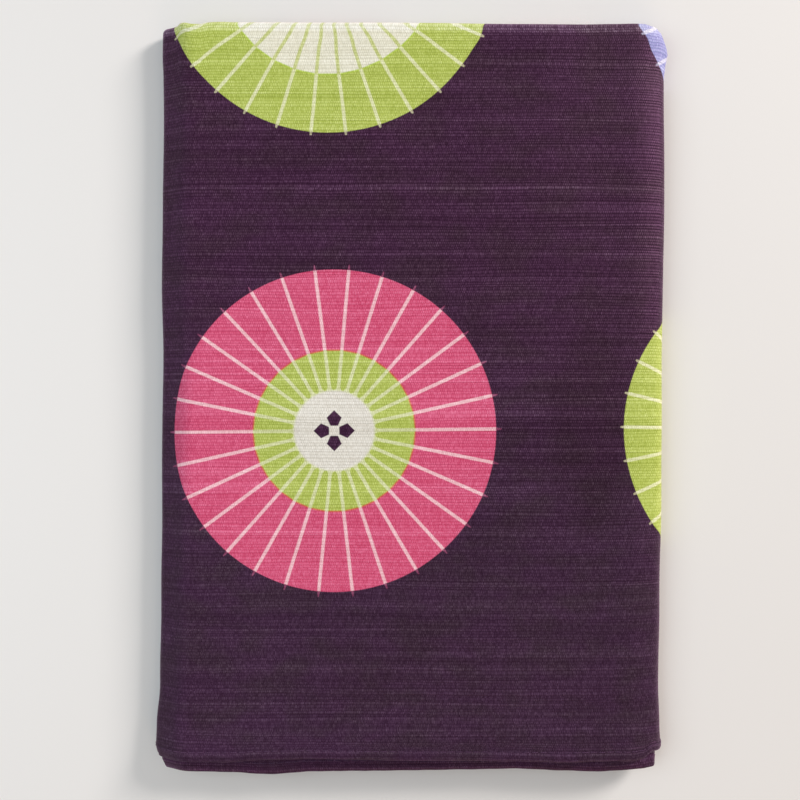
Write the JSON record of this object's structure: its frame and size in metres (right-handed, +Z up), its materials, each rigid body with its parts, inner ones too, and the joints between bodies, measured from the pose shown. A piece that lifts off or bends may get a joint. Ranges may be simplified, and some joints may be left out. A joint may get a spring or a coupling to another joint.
{
  "type": "folded furoshiki wrapping cloth",
  "caption": "Printed cotton furoshiki wrapping cloth, hemmed at both ends, folded in half and then in thirds into a flat upright rectangle.",
  "frame": {"origin": "middle of the underside, on the surface that the folded cloth lies on", "axes": "+X to the right across the front, +Y along the folds towards the closed top edge, +Z up out of the front"},
  "size_m": [0.1738, 0.2532, 0.0125],
  "materials": {
    "printed_cotton": "matt ribbed cotton, dark aubergine, with umbrella discs in pink, lime, violet-blue and white"
  },
  "bodies": {
    "root": {"furoshiki_cloth": "printed_cotton"}
  },
  "joints": []
}
